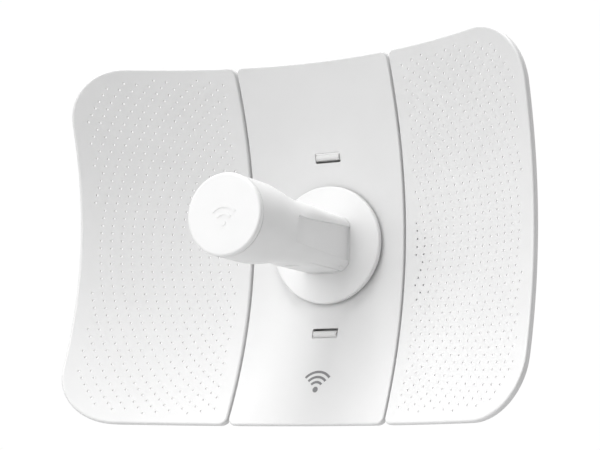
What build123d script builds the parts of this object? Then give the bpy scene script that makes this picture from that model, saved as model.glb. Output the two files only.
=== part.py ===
from build123d import *
from math import cos, radians, sin
import os

# Outdoor wireless bridge: a three-piece pressed metal dish, a plastic feed that holds the radio,
# and a three-axis pole mount. Millimetres. The origin is on the pole's axis, level with the dish
# axis. +Z is up and the dish looks along -Y.

os.makedirs("parts", exist_ok=True)

# ---- driving dimensions -----------------------------------------------------------------------

# reflector
DISH_WIDTH = 366.0
DISH_HEIGHT = 268.0
FOCAL_LENGTH = 130.85
VERTEX_Y = -120.0            # where the dish axis meets the reflecting surface
SHEET = 1.2                  # sheet thickness along the dish axis
FLANGE = 8.0                 # depth of the turned-back edge
FLANGE_WALL = 1.1
SEAM_X = 63.0                # centre line of the gap between centre panel and wing
SEAM_GAP = 1.8
OUTER_CORNER = 42.5
SEAM_CORNER = 5.5
LIP_RADIUS = 1.5
HOOK_SLOT = (20.6, 7.0)      # slots of the centre panel, width and height
HOOK_SLOT_Z = 65.5
SEAM_HOOK_Z = 82.0           # the wings hook into the centre panel at these heights, up and down

# feed, measured ahead of the vertex
TIP_AHEAD = 156.8
HEAD_RADIUS = 28.3
CAP_SEAM_AHEAD = 152.6
DISC_FACE_AHEAD = 9.8
DISC_RADIUS = 43.8
DISC_THICK = 4.0
RECESS_HALF_WIDTH = 18.7     # floor of the recesses in the neck's sides, at the vertex
RECESS_LEAN = 0.022          # slope of that floor
SPIGOT_BEHIND = 14.0         # how far the feed's rear end reaches behind the vertex
NECK_HALF_WIDTH = 20.2       # at the collar
NECK_TOP = 19.5
NECK_BOTTOM = -21.5
NECK_TOP_RADIUS = 8.0
NECK_BOTTOM_RADIUS = 11.0
NECK_FRONT = 60.0            # the neck starts to round off here
HEAD_START = 74.0            # and starts to swell here
HEAD_END = 122.0             # where the head is round and has its full size
# the hollow inside: ahead, half width, top, bottom, top corner radius, bottom corner radius
CAVITY_SECTIONS = (
    (-20.0, 17.6, 17.3, -19.3, 6.0, 9.0),
    (96.0, 17.6, 17.3, -19.3, 6.0, 9.0),
    (108.0, 23.4, 23.4, -23.4, 21.5, 21.5),
    (117.0, 25.3, 25.3, -25.3, 24.8, 24.8),
    (CAP_SEAM_AHEAD + 1, 25.8, 25.8, -25.8, 25.3, 25.3),
)

# port bay under the neck
BAY_HALF_WIDTH = 14.0
BAY_REAR = 17.5              # also how far ahead the cover's hinge axis is
BAY_FRONT = 58.0
HINGE_Z = -17.5
HINGE_BARREL = 4.0
BOARD_Z = -2.0               # underside of the main board
BUTTON_X = 9.0
BUTTON_AHEAD = 50.0
BUTTON_RADIUS = 2.2

# three-axis mount
HUB_RADIUS = 42.0
HUB_BACK_Y = -98.3
FLANGE_BACK_Y = -93.0        # back face of the tilt head's flange
ROLL_BOSS_RADIUS = 15.0
ROLL_SCREW_CIRCLE = 30.0
OUTLET_X = -22.0             # cable outlet in the hub's wall
OUTLET_Y = HUB_BACK_Y - 15.0
OUTLET_RADIUS = 6.0
ROLL_SWING = 15.0
TILT_Y = -77.0
TILT_SWING = 20.0
TILT_SLOT_RADIUS = 15.0
SWIVEL_Y = -49.0
POLE_RADIUS = 24.15
CLAMP_HALF_HEIGHT = 30.0
RUNNING = 0.05               # radial clearance of a pin in its hole
APART = 0.3                  # gap between bodies that slide past each other

# pole bands
BAND_Z = 17.0
BAND_HALF_WIDTH = 6.3
BAND_THICK = 0.8
WORM_Y = POLE_RADIUS + 2 * BAND_THICK + 4.4
WORM_RADIUS = 3.6


# ---- shared shapes ----------------------------------------------------------------------------

def front_plane(ahead):
    """Upright plane that faces the front, a distance ahead of the dish's vertex."""
    return facing_front(0, VERTEX_Y - ahead, 0)


def facing_front(x, y, z):
    """Plane through a point that faces -Y, with X and Z as its own directions."""
    return Plane(origin=(x, y, z), x_dir=(1, 0, 0), z_dir=(0, -1, 0))


def facing_right(x, y, z):
    """Plane through a point that faces +X, with Y and Z as its own directions."""
    return Plane(origin=(x, y, z), x_dir=(0, 1, 0), z_dir=(1, 0, 0))


def facing_up(x, y, z):
    """Plane through a point that faces +Z, with X and Y as its own directions."""
    return Plane(origin=(x, y, z), x_dir=(1, 0, 0), z_dir=(0, 0, 1))


def facing_down(x, y, z):
    return Plane(origin=(x, y, z), x_dir=(1, 0, 0), z_dir=(0, 0, -1))


def surface_y(x, z):
    """Y of the reflecting surface."""
    return VERTEX_Y - (x * x + z * z) / (4 * FOCAL_LENGTH)


def rod(plane, radius, length):
    with BuildPart() as solid:
        with BuildSketch(plane):
            Circle(radius)
        extrude(amount=length)
    return solid.part


def tube(plane, outer, inner, length):
    with BuildPart() as solid:
        with BuildSketch(plane):
            Circle(outer)
            Circle(inner, mode=Mode.SUBTRACT)
        extrude(amount=length)
    return solid.part


def hexagon(plane, across_flats, length):
    with BuildPart() as solid:
        with BuildSketch(plane):
            RegularPolygon(across_flats / 2, 6, major_radius=False)
        extrude(amount=length)
        chamfer(solid.faces().sort_by(Axis(plane.origin, plane.z_dir))[-1].edges(), across_flats * 0.05)
    return solid.part


def block(low, high):
    """Box between two corners."""
    size = [b - a for a, b in zip(low, high)]
    middle = [(a + b) / 2 for a, b in zip(low, high)]
    with BuildPart() as solid:
        with Locations(Location(tuple(middle))):
            Box(*size)
    return solid.part


def bolt(plane, shank, length, flats, head):
    """Hexagon bolt: the plane is under its head and faces the shank's end."""
    with BuildPart() as solid:
        add(rod(plane, shank, length))
        under = Plane(origin=plane.origin, x_dir=plane.x_dir, z_dir=-plane.z_dir)
        add(hexagon(under, flats, head))
    return solid.part


def nut(plane, bore, flats, height):
    with BuildPart() as solid:
        add(hexagon(plane, flats, height))
        add(rod(plane, bore, height), mode=Mode.SUBTRACT)
    return solid.part


def arc_slot(plane, radius, middle, swing, width, depth):
    """Slot along an arc round the plane's origin, for a screw that swings either way from the middle."""
    with BuildPart() as slot:
        with BuildSketch(plane):
            with BuildLine():
                outer = CenterArc((0, 0), radius + width / 2, middle - swing, 2 * swing)
                inner = CenterArc((0, 0), radius - width / 2, middle - swing, 2 * swing)
                Line(outer @ 0, inner @ 0)
                Line(outer @ 1, inner @ 1)
            make_face()
            for angle in (middle - swing, middle + swing):
                with Locations((radius * cos(radians(angle)), radius * sin(radians(angle)))):
                    Circle(width / 2)
        extrude(amount=depth)
    return slot.part


def rounded_section(ahead, half_width, top, bottom, top_radius, bottom_radius):
    """Cross-section of the feed: a rectangle with larger or smaller round corners."""
    with BuildSketch(front_plane(ahead)) as section:
        with Locations((0, (top + bottom) / 2)):
            Rectangle(2 * half_width, top - bottom)
        fillet(section.vertices().group_by(Axis.Y)[-1], top_radius)
        fillet(section.vertices().group_by(Axis.Y)[0], bottom_radius)
    return section.sketch


def neck_prism(ahead, length, grow):
    """The neck's cross-section at the collar, grown and pulled forward from a plane ahead of the vertex."""
    section = rounded_section(ahead, NECK_HALF_WIDTH + grow, NECK_TOP + grow, NECK_BOTTOM - grow,
                              NECK_TOP_RADIUS + grow, NECK_BOTTOM_RADIUS + grow)
    with BuildPart() as prism:
        extrude(section, amount=length)
    return prism.part


# ---- reflector --------------------------------------------------------------------------------

def bowl(behind, thickness):
    """Layer of the paraboloid, a distance behind the reflecting surface."""
    reach = 240.0
    sag = reach * reach / (4 * FOCAL_LENGTH)
    near = VERTEX_Y + behind
    far = near + thickness
    with BuildPart() as layer:
        with BuildSketch(Plane.XY):
            with BuildLine():
                Bezier((0, near), (reach / 2, near), (reach, near - sag))
                Line((reach, near - sag), (reach, far - sag))
                Bezier((reach, far - sag), (reach / 2, far), (0, far))
                Line((0, far), (0, near))
            make_face()
        revolve(axis=Axis.Y)
    return layer.part


def panel_prism(left, right, left_corner, right_corner, inset):
    """Upright outline of one panel, pulled through the whole depth of the dish."""
    with BuildPart() as prism:
        with BuildSketch(front_plane(-15)) as outline:
            with Locations(((left + right) / 2, 0)):
                Rectangle(right - left - 2 * inset, DISH_HEIGHT - 2 * inset)
            fillet(outline.vertices().group_by(Axis.X)[0], left_corner - inset)
            fillet(outline.vertices().group_by(Axis.X)[-1], right_corner - inset)
        extrude(amount=130)
    return prism.part


def on_surface(edge):
    """True for an edge that lies on the reflecting surface."""
    middle = edge.position_at(0.5)
    return abs(middle.Y - surface_y(middle.X, middle.Z)) < 0.01


def pressed_panel(left, right, left_corner, right_corner):
    """Shallow pan: a skin on the paraboloid with its edge turned back all round."""
    with BuildPart() as hollow:
        add(bowl(SHEET, FLANGE + 2))
        add(panel_prism(left, right, left_corner, right_corner, FLANGE_WALL), mode=Mode.INTERSECT)
    with BuildPart() as panel:
        add(bowl(0, FLANGE))
        add(panel_prism(left, right, left_corner, right_corner, 0), mode=Mode.INTERSECT)
        add(hollow.part, mode=Mode.SUBTRACT)
        fillet(panel.edges().filter_by(on_surface), LIP_RADIUS)
    return panel.part


panel_edge = SEAM_X - SEAM_GAP / 2
wing_edge = SEAM_X + SEAM_GAP / 2
seam_hook_y = surface_y(SEAM_X, SEAM_HOOK_Z) + 5.4

with BuildPart() as centre_panel:
    add(pressed_panel(-panel_edge, panel_edge, SEAM_CORNER, SEAM_CORNER))
    # slots for the rear bracket's hooks, and the opening that the feed goes through
    with BuildSketch(front_plane(-15)):
        with Locations((0, HOOK_SLOT_Z), (0, -HOOK_SLOT_Z)):
            RectangleRounded(*HOOK_SLOT, 1.0)
    extrude(amount=40, mode=Mode.SUBTRACT)
    add(neck_prism(-15, 40, 1.4), mode=Mode.SUBTRACT)
    # slots in the side flanges for the wings' hooks
    for x in (-panel_edge, panel_edge):
        for z in (-SEAM_HOOK_Z, SEAM_HOOK_Z):
            low = (x - 2, seam_hook_y - 1.1, z - 4.8)
            high = (x + 2, seam_hook_y + 1.1, z + 4.8)
            add(block(low, high), mode=Mode.SUBTRACT)

with BuildPart() as right_wing:
    add(pressed_panel(wing_edge, DISH_WIDTH / 2, SEAM_CORNER, OUTER_CORNER))
    # hooks that pass through the centre panel's flange and hold behind it
    for z in (-SEAM_HOOK_Z, SEAM_HOOK_Z):
        tongue_end = panel_edge - FLANGE_WALL - 3.5
        add(block((tongue_end, seam_hook_y - 0.5, z - 4), (wing_edge + 1, seam_hook_y + 0.5, z + 4)))
        barb_top = panel_edge - FLANGE_WALL - 0.3
        add(block((tongue_end, seam_hook_y + 0.5, z - 4), (barb_top, seam_hook_y + 1.3, z + 4)))

with BuildPart() as left_wing:
    mirror(right_wing.part, about=Plane.YZ)

CABLE_NOTCH = ((-19, HUB_BACK_Y - 19, -30), (-7, HUB_BACK_Y - 6, -11))

# ---- rear hub ---------------------------------------------------------------------------------

HOOK_INNER_Z = 63.7
HOOK_OUTER_Z = 68.5
hub_front_limit = bowl(SHEET + 0.1 - 60, 60)      # everything ahead of the panel's back


def slot_hook(side):
    """One of the two hooks that hold the centre panel, with a rounded front."""
    front = surface_y(0, HOOK_SLOT_Z) - 1.2
    low_z, high_z = sorted((side * HOOK_INNER_Z, side * HOOK_OUTER_Z))
    with BuildPart() as hook:
        add(block((-9.5, front, low_z), (9.5, HUB_BACK_Y - 4, high_z)))
        fillet(hook.faces().sort_by(Axis.Y)[0].edges().filter_by(Axis.X), 2.2)
        fillet(hook.faces().sort_by(Axis.Y)[0].edges().filter_by(Axis.Z), 0.6)
    return hook.part


with BuildPart() as rear_hub:
    hub_back = facing_front(0, HUB_BACK_Y, 0)
    inside = facing_front(0, HUB_BACK_Y - 6, 0)
    add(rod(hub_back, HUB_RADIUS, 30))
    add(rod(inside, HUB_RADIUS - 5, 30), mode=Mode.SUBTRACT)
    # socket for the feed's rear end
    add(neck_prism(VERTEX_Y - HUB_BACK_Y + 6, 30, 3.2))
    add(neck_prism(VERTEX_Y - HUB_BACK_Y + 6, 30, 0.2), mode=Mode.SUBTRACT)
    # four ribs from the socket to the outer wall
    for angle in (45, 135, 200, 340):
        with BuildSketch(inside):
            with PolarLocations(32.6, 1, start_angle=angle):
                Rectangle(11.4, 2.4)
        extrude(amount=30)
    # hollow upper arm and channel-shaped lower arm
    add(block((-12, HUB_BACK_Y - 30, 38), (12, HUB_BACK_Y, 62)))
    add(block((-8.5, HUB_BACK_Y - 26, 41.9), (8.5, HUB_BACK_Y - 4, 58)), mode=Mode.SUBTRACT)
    for x in (-12, 8):
        add(block((x, HUB_BACK_Y - 30, -62), (x + 4, HUB_BACK_Y, -38)))
    add(block((-12, HUB_BACK_Y - 4, -62), (12, HUB_BACK_Y, -38)))
    # way out for the network cable: a notch in the socket and a round hole in the outer wall
    add(block(*CABLE_NOTCH), mode=Mode.SUBTRACT)
    add(rod(facing_up(OUTLET_X, OUTLET_Y, -45), OUTLET_RADIUS, 19.5), mode=Mode.SUBTRACT)
    # window for the release tab, in the outer wall and in the socket
    add(block((18, HUB_BACK_Y - 14.3, -5.3), (HUB_RADIUS + 1, HUB_BACK_Y - 9.7, 5.3)), mode=Mode.SUBTRACT)
    # finger recess above and below the tab
    add(block((HUB_RADIUS - 3.2, HUB_BACK_Y - 15.7, -9.3), (HUB_RADIUS + 1, HUB_BACK_Y - 8.3, 9.3)),
        mode=Mode.SUBTRACT)
    # ends of the arms, with a pocket on the inner side of each hook
    for side in (-1, 1):
        low_z, high_z = sorted((side * 59.0, side * HOOK_OUTER_Z))
        add(block((-12, HUB_BACK_Y - 30, low_z), (12, HUB_BACK_Y, high_z)))
        low_z, high_z = sorted((side * 61.6, side * HOOK_INNER_Z))
        add(block((-11.2, HUB_BACK_Y - 30, low_z), (11.2, HUB_BACK_Y - 20, high_z)), mode=Mode.SUBTRACT)
    add(hub_front_limit, mode=Mode.SUBTRACT)
    # hooks through the centre panel's slots
    for side in (-1, 1):
        add(slot_hook(side))
    # boss that the dish rolls on, and threaded holes for the roll screws
    add(rod(hub_back, ROLL_BOSS_RADIUS, -4.6))
    for angle in (90, 210, 330):
        z = ROLL_SCREW_CIRCLE * sin(radians(angle))
        x = ROLL_SCREW_CIRCLE * cos(radians(angle))
        add(rod(facing_front(x, HUB_BACK_Y + 1, z), 2.5, 8), mode=Mode.SUBTRACT)
    # cradle for the level, across the back of the upper arm
    add(block((-19, HUB_BACK_Y - 1.5, 46), (19, HUB_BACK_Y + 5.5, 58)))
    level_axis = facing_right(-16.2, HUB_BACK_Y + 4.2, 52)
    add(rod(level_axis, 5.0, 32.4), mode=Mode.SUBTRACT)
    # hole for the ground screw, in the lower arm
    add(rod(facing_front(0, HUB_BACK_Y + 1, -54), 2.0, 6), mode=Mode.SUBTRACT)

with BuildPart() as feed_latch:
    # sliding tab that locks the feed in its socket: nose, bar and finger grip
    add(block((18.6, HUB_BACK_Y - 13.9, -5), (HUB_RADIUS - 2.7, HUB_BACK_Y - 10.1, 5)))
    add(block((HUB_RADIUS - 2.7, HUB_BACK_Y - 15.3, -9), (HUB_RADIUS - 0.2, HUB_BACK_Y - 8.7, 9)))
    fillet(feed_latch.edges().filter_by(Axis.Y).group_by(Axis.X)[-1], 0.8)

with BuildPart() as level_vial:
    add(rod(level_axis.offset(0.2), 4.95, 32))
    vial_ends = level_vial.faces().filter_by(Plane.YZ)
    fillet(vial_ends.edges(), 1.5)
    add(rod(level_axis.offset(1.7), 3.9, 29), mode=Mode.SUBTRACT)

with BuildPart() as level_liquid:
    add(rod(level_axis.offset(1.8), 3.85, 28.8))
    with BuildSketch(facing_up(0, HUB_BACK_Y + 4.2, 54.6)):
        SlotOverall(9, 4)
    extrude(amount=4, mode=Mode.SUBTRACT)

with BuildPart() as level_rings:
    for x in (-5.2, 4.6):
        add(tube(facing_right(x, HUB_BACK_Y + 4.2, 52), 5.15, 4.96, 0.6))
    add(block((-6, HUB_BACK_Y - 1, 46), (6, HUB_BACK_Y + 5.55, 58)), mode=Mode.SUBTRACT)

with BuildPart() as ground_screw:
    head_plane = facing_front(0, HUB_BACK_Y + 1.2, -54)
    add(rod(head_plane, 1.98, 6.6))
    add(rod(head_plane, 4.0, -2.8))
    fillet(ground_screw.edges().sort_by(Axis.Y)[-1], 1.0)
    add(block((-3.2, HUB_BACK_Y + 2.8, -54.5), (3.2, HUB_BACK_Y + 6, -53.5)), mode=Mode.SUBTRACT)
    add(block((-0.5, HUB_BACK_Y + 2.8, -57.2), (0.5, HUB_BACK_Y + 6, -50.8)), mode=Mode.SUBTRACT)

with BuildPart() as ground_washer:
    add(tube(head_plane.offset(0.02), 5.0, 2.1, 1.15))

with BuildPart() as cable_grommet:
    # split rubber bush in the hub's wall, where the network cable leaves
    add(rod(facing_up(OUTLET_X, OUTLET_Y, -38), OUTLET_RADIUS - 0.02, 9))
    add(rod(facing_up(OUTLET_X, OUTLET_Y, -41), OUTLET_RADIUS + 1.2, 1.6))
    add(rod(facing_up(OUTLET_X, OUTLET_Y, -39.5), OUTLET_RADIUS - 0.8, 2))
    add(rod(facing_up(OUTLET_X, OUTLET_Y, -42), 3.2, 15), mode=Mode.SUBTRACT)
    add(block((OUTLET_X - 10, OUTLET_Y - 0.4, -42), (OUTLET_X, OUTLET_Y + 0.4, -28)), mode=Mode.SUBTRACT)

with BuildPart() as roll_screws:
    for angle in (90, 210, 330):
        z = ROLL_SCREW_CIRCLE * sin(radians(angle))
        x = ROLL_SCREW_CIRCLE * cos(radians(angle))
        under_washer = facing_front(x, FLANGE_BACK_Y + APART, z)
        add(rod(under_washer, 2.48, 11))
        add(rod(under_washer, 4.6, -1.0))
        on_washer = Plane(origin=(x, FLANGE_BACK_Y + APART + 1, z), x_dir=(1, 0, 0), z_dir=(0, 1, 0))
        add(hexagon(on_washer, 8.0, 3.0))

# ---- feed -------------------------------------------------------------------------------------

def eased(ahead, start, end):
    """0 before the start, 1 after the end, and a gentle S between them."""
    share = min(1.0, max(0.0, (ahead - start) / (end - start)))
    return share * share * (3 - 2 * share)


def feed_section(ahead):
    """Outline of the feed: the neck widens slowly, then swells and rounds off into the head."""
    swell = eased(ahead, HEAD_START, HEAD_END)
    rounding = eased(ahead, NECK_FRONT, HEAD_END - 4)
    run = ahead - DISC_FACE_AHEAD
    sizes = []
    for at_collar, growth, at_head, share in (
        (NECK_HALF_WIDTH, 0.020, HEAD_RADIUS, swell),
        (NECK_TOP, 0.036, HEAD_RADIUS, swell),
        (NECK_BOTTOM, -0.012, -HEAD_RADIUS, swell),
        (NECK_TOP_RADIUS, 0.058, HEAD_RADIUS - 0.4, rounding),
        (NECK_BOTTOM_RADIUS, 0.038, HEAD_RADIUS - 0.4, rounding),
    ):
        neck_size = at_collar + growth * run
        sizes.append(neck_size + share * (at_head - neck_size))
    return rounded_section(ahead, *sizes)


with BuildPart() as feed_form:
    steps = [8, 34, NECK_FRONT, *range(66, int(HEAD_END), 4), HEAD_END, CAP_SEAM_AHEAD]
    loft([feed_section(ahead) for ahead in steps], ruled=True)

with BuildPart() as feed_cavity:
    loft([rounded_section(*numbers) for numbers in CAVITY_SECTIONS], ruled=True)

bay_front_y = VERTEX_Y - BAY_FRONT
bay_rear_y = VERTEX_Y - BAY_REAR

with BuildPart() as bay_form:
    # the cover's outline: a plate with a round hinge end
    add(block((-BAY_HALF_WIDTH, bay_front_y, -40), (BAY_HALF_WIDTH, bay_rear_y, -14)))
    add(rod(facing_right(-BAY_HALF_WIDTH, bay_rear_y, HINGE_Z), HINGE_BARREL, 2 * BAY_HALF_WIDTH))

with BuildPart() as feed_shell:
    add(feed_form.part)
    # rear end that plugs into the hub, under the collar
    add(neck_prism(-SPIGOT_BEHIND, SPIGOT_BEHIND + 9, -0.1))
    # flat-bottomed recess in each side of the neck
    for side in (-1, 1):
        # its floor leans outwards to the front, as the neck does
        recess_plane = Plane(
            origin=(side * RECESS_HALF_WIDTH, VERTEX_Y, 0),
            x_dir=(side * RECESS_LEAN, -1, 0),
            z_dir=(side, RECESS_LEAN, 0),
        )
        start = DISC_FACE_AHEAD + 0.1
        outline = ((start, -11.7), (95, -6.6), (99, 1.0), (97, 10.6), (start, 12.8))
        with BuildSketch(recess_plane) as recess:
            with BuildLine():
                Polyline(*[(ahead, side * z) for ahead, z in outline], close=True)
            make_face()
            fillet(recess.vertices().sort_by(Axis.X)[2:4], 4)
        extrude(amount=8, taper=-25, mode=Mode.SUBTRACT)
    add(feed_cavity.part, mode=Mode.SUBTRACT)
    # slide rails that hold the main board
    for side in (-1, 1):
        for low_z, high_z in ((BOARD_Z - 2.4, BOARD_Z - 0.1), (BOARD_Z + 1.7, BOARD_Z + 3.8)):
            low_x, high_x = sorted((side * 15.4, side * 18.2))
            add(block((low_x, VERTEX_Y - 92, low_z), (high_x, VERTEX_Y + 10, high_z)))
    # solid corners that carry the cover's hinge pin
    for side in (-1, 1):
        low_x, high_x = sorted((side * (BAY_HALF_WIDTH + 0.4), side * 17.8))
        add(block((low_x, VERTEX_Y - 21, -18.6), (high_x, VERTEX_Y - 14, -14)))
    # bay opening, with room for the cover's hinge end to turn
    bay_side = BAY_HALF_WIDTH + 0.4
    add(block((-bay_side, bay_front_y - 0.35, -40), (bay_side, bay_rear_y + 4.3, -12.9)), mode=Mode.SUBTRACT)
    # hole of the hinge pin
    hinge_line = facing_right(-16.6, bay_rear_y, HINGE_Z)
    add(rod(hinge_line, 1.0 + RUNNING, 33.2), mode=Mode.SUBTRACT)
    # notch that lets the cable out at the rear end
    add(block(*CABLE_NOTCH), mode=Mode.SUBTRACT)
    # notch for the release tab's nose
    add(block((18.3, HUB_BACK_Y - 14.3, -5.3), (21, HUB_BACK_Y - 9.7, 5.3)), mode=Mode.SUBTRACT)
    # finger scoop in front of the cover
    add(rod(facing_right(-5, bay_front_y - 2.0, -23.2), 3.0, 10), mode=Mode.SUBTRACT)
    # seat of the status light in the top of the neck
    add(rod(facing_up(0, VERTEX_Y - 40, 10), 2.1, 15), mode=Mode.SUBTRACT)

with BuildPart() as port_cover:
    add(feed_form.part)
    add(bay_form.part, mode=Mode.INTERSECT)
    # hollow behind the skin, leaving hinge lugs at the two sides
    add(block((-12, bay_front_y - 1, -19.9), (12, bay_rear_y - 4.2, -10)), mode=Mode.SUBTRACT)
    add(block((-20, bay_front_y - 1, -18.3), (20, bay_rear_y - 4.2, -10)), mode=Mode.SUBTRACT)
    add(block((-9.5, bay_rear_y - 4.2, -19.9), (9.5, bay_rear_y + 5, -10)), mode=Mode.SUBTRACT)
    add(rod(hinge_line, 1.0, 33.2), mode=Mode.SUBTRACT)
    add(rod(facing_right(-5, bay_front_y, -22.6), 1.6, 10), mode=Mode.SUBTRACT)

with BuildPart() as cover_pin:
    add(rod(hinge_line.offset(0.3), 1.0, 32.6))

with BuildPart() as feed_cap:
    with BuildSketch(front_plane(CAP_SEAM_AHEAD + 0.25)):
        Circle(HEAD_RADIUS)
    extrude(amount=TIP_AHEAD - CAP_SEAM_AHEAD - 0.25)
    fillet(feed_cap.edges().sort_by(Axis.Y)[0], 1.8)
    # skirt that pushes into the head
    add(tube(front_plane(CAP_SEAM_AHEAD - 6), 25.5, 23.8, 7))
    add(tube(front_plane(CAP_SEAM_AHEAD - 4.4), 26, 24.7, 2.2), mode=Mode.SUBTRACT)
    # raised pictogram: a dot and two radio waves
    with BuildSketch(front_plane(TIP_AHEAD - 0.2)):
        with Locations((0, -6)):
            Circle(1.7)
        for radius in (6.5, 11.5):
            with BuildLine():
                CenterArc((0, -6), radius, 45, 90)
                offset(amount=0.85, side=Side.BOTH)
            make_face()
    extrude(amount=0.5)

with BuildPart() as cap_seal:
    add(tube(front_plane(CAP_SEAM_AHEAD - 4.3), 25.72, 24.75, 2.0))

with BuildPart() as collar_disc:
    with BuildSketch(front_plane(DISC_FACE_AHEAD - DISC_THICK)):
        Circle(DISC_RADIUS)
    extrude(amount=DISC_THICK)
    fillet(collar_disc.edges().sort_by(Axis.Y)[0], 1.3)
    # skirt that reaches back to the panel round the feed's opening
    with BuildSketch(front_plane(-1.6)):
        Circle(30)
        Circle(27.5, mode=Mode.SUBTRACT)
    extrude(amount=DISC_FACE_AHEAD - 2)
    add(bowl(-0.1, 40), mode=Mode.SUBTRACT)
    add(neck_prism(-15, 40, 0.08), mode=Mode.SUBTRACT)

# ---- radio inside the feed --------------------------------------------------------------------

with BuildPart() as main_board:
    add(block((-17.2, VERTEX_Y - 104, BOARD_Z), (17.2, VERTEX_Y + 6, BOARD_Z + 1.6)))

with BuildPart() as shield_can:
    add(block((-14, VERTEX_Y - 92, BOARD_Z + 1.6), (14, VERTEX_Y - 46, BOARD_Z + 6.6)))
    fillet(shield_can.edges().filter_by(Axis.Z), 1.5)
    add(block((-13.5, VERTEX_Y - 91.5, BOARD_Z), (13.5, VERTEX_Y - 46.5, BOARD_Z + 6.1)), mode=Mode.SUBTRACT)

with BuildPart() as ethernet_jack:
    add(block((-13, VERTEX_Y - 57, BOARD_Z - 13.6), (3, VERTEX_Y - 42, BOARD_Z)))
    # plug socket, and the narrower channel of the plug's clip under it
    for half_width, low_z, high_z in ((5.9, -10.9, -2.6), (3.1, -12.9, -10.8)):
        low = (-5 - half_width, VERTEX_Y - 54, BOARD_Z + low_z)
        high = (-5 + half_width, VERTEX_Y - 41, BOARD_Z + high_z)
        add(block(low, high), mode=Mode.SUBTRACT)

with BuildPart() as jack_contacts:
    for index in range(8):
        x = -5 + (index - 3.5) * 1.02
        add(block((x - 0.2, VERTEX_Y - 53.9, BOARD_Z - 5.2), (x + 0.2, VERTEX_Y - 44.5, BOARD_Z - 4.8)))

with BuildPart() as reset_switch:
    add(block((BUTTON_X - 3, VERTEX_Y - BUTTON_AHEAD - 3, BOARD_Z - 8),
              (BUTTON_X + 3, VERTEX_Y - BUTTON_AHEAD + 3, BOARD_Z)))
    bore = facing_up(BUTTON_X, VERTEX_Y - BUTTON_AHEAD, BOARD_Z - 9)
    add(rod(bore, BUTTON_RADIUS + RUNNING, 6.5), mode=Mode.SUBTRACT)

with BuildPart() as reset_button:
    add(rod(facing_up(BUTTON_X, VERTEX_Y - BUTTON_AHEAD, BOARD_Z - 11), BUTTON_RADIUS, 7))
    fillet(reset_button.edges().sort_by(Axis.Z)[0], 0.6)

with BuildPart() as status_light:
    add(rod(facing_up(0, VERTEX_Y - 40, BOARD_Z + 1.8), 1.9, 20.6))

with BuildPart() as antenna_board:
    add(rod(front_plane(105), 20.5, 1.6))

with BuildPart() as radiator_patches:
    for ahead, half in ((106.7, 11.0), (112.5, 9.5)):
        low, high = VERTEX_Y - ahead - 0.5, VERTEX_Y - ahead
        add(block((-half, low, -half), (half, high, half)))

with BuildPart() as patch_posts:
    for x in (-6, 6):
        for z in (-6, 6):
            add(rod(facing_front(x, VERTEX_Y - 107.3, z), 1.5, 5.1))
            add(rod(facing_front(x, VERTEX_Y - 113.1, z), 1.5, 24.8))

with BuildPart() as splash_plate:
    add(rod(front_plane(138), 21.5, 1.5))
    fillet(splash_plate.edges(), 0.5)

# ---- tilt head --------------------------------------------------------------------------------

flange_thick = FLANGE_BACK_Y - HUB_BACK_Y - APART

with BuildPart() as tilt_head:
    flange_plane = facing_front(0, FLANGE_BACK_Y, 0)
    add(rod(flange_plane, 40, flange_thick))
    add(rod(flange_plane.offset(-1), ROLL_BOSS_RADIUS + RUNNING, 8), mode=Mode.SUBTRACT)
    # arc slots that let the dish roll
    for angle in (90, 210, 330):
        roll_slot = arc_slot(flange_plane.offset(-1), ROLL_SCREW_CIRCLE, angle, ROLL_SWING, 6.0, 8)
        add(roll_slot, mode=Mode.SUBTRACT)
    # cheeks with the tilt pivot and the clamping slot
    for x in (-16.3, 11.3):
        pivot_plane = facing_right(x, TILT_Y, 0)
        with BuildSketch(pivot_plane):
            Circle(13)
            with BuildLine():
                rim = CenterArc((0, 0), 21, 45, 90)
                Line(rim @ 0, (0, 0))
                Line(rim @ 1, (0, 0))
            make_face()
            with Locations(((FLANGE_BACK_Y - TILT_Y) / 2 - 0.3, 2)):
                Rectangle(TILT_Y - FLANGE_BACK_Y + 0.6, 38)
        extrude(amount=5)
        add(rod(pivot_plane, 4.02, 5), mode=Mode.SUBTRACT)
        add(arc_slot(pivot_plane, TILT_SLOT_RADIUS, 90, TILT_SWING, 5.7, 5), mode=Mode.SUBTRACT)

tilt_end = facing_right(-17.7, TILT_Y, 0)
tilt_far = facing_right(17.7, TILT_Y, 0)

with BuildPart() as tilt_bolt:
    add(bolt(tilt_end, 4.0, 44, 13, 5.3))

with BuildPart() as tilt_nut:
    add(nut(tilt_far.offset(0.02), 4.0, 13, 6.5))

with BuildPart() as tilt_washers:
    add(tube(tilt_end, 7.5, 4.02, 1.38))
    add(tube(tilt_far.offset(-1.38), 7.5, 4.02, 1.38))

# ---- swivel block -----------------------------------------------------------------------------

with BuildPart() as swivel_block:
    with BuildSketch(facing_up(0, 0, -13.7)):
        with Locations((0, SWIVEL_Y)):
            Circle(11)
        with Locations((0, (SWIVEL_Y + TILT_Y) / 2)):
            Rectangle(16, SWIVEL_Y - TILT_Y)
    extrude(amount=27.4)
    with BuildSketch(facing_right(-11, TILT_Y, 0)):
        Circle(13)
        with Locations((0, TILT_SLOT_RADIUS)):
            Circle(6)
        with Locations((0, TILT_SLOT_RADIUS / 2)):
            Rectangle(12, TILT_SLOT_RADIUS)
    extrude(amount=22)
    add(rod(facing_up(0, SWIVEL_Y, -14), 4 + RUNNING, 28), mode=Mode.SUBTRACT)
    add(rod(facing_right(-12, TILT_Y, 0), 4 + RUNNING, 24), mode=Mode.SUBTRACT)
    add(rod(facing_right(-12, TILT_Y, TILT_SLOT_RADIUS), 2.52, 24), mode=Mode.SUBTRACT)

clamp_end = facing_right(-17.3 - APART, TILT_Y, TILT_SLOT_RADIUS)
clamp_far = facing_right(16.3 + APART, TILT_Y, TILT_SLOT_RADIUS)

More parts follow.
